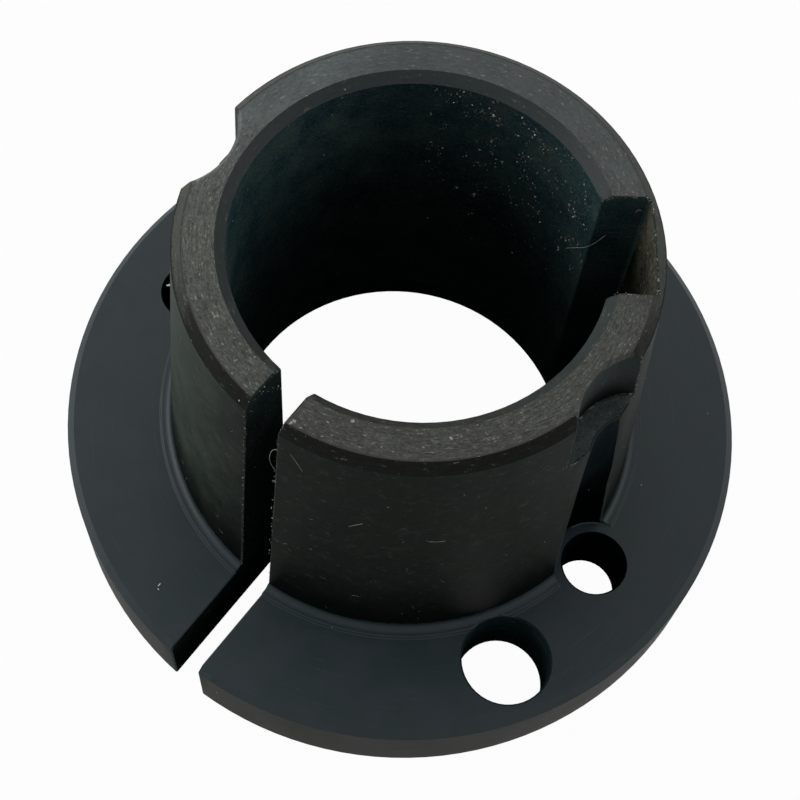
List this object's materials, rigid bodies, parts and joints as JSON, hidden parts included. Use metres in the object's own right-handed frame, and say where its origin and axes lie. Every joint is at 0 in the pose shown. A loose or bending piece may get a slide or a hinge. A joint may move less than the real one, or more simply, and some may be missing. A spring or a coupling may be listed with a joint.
{
  "type": "taper bush",
  "caption": "Flanged split taper bush: a tapered sleeve with a keyed bore, a lengthwise slit and screw holes in its flange, for clamping a pulley or sprocket hub to a shaft.",
  "frame": {"origin": "on the bore axis, at the centre of the flange face that the bush stands on", "axes": "+Z along the bore from the flange to the small end, +X near the keyway's middle (the keyway lies 5.7 degrees from +X towards +Y), the slit lies at -121.3 degrees from +X"},
  "size_m": [0.0762, 0.0762, 0.0483],
  "materials": {
    "bush": "turned and blackened, satin"
  },
  "bodies": {
    "root": {"taper_bush": "bush"}
  },
  "joints": []
}
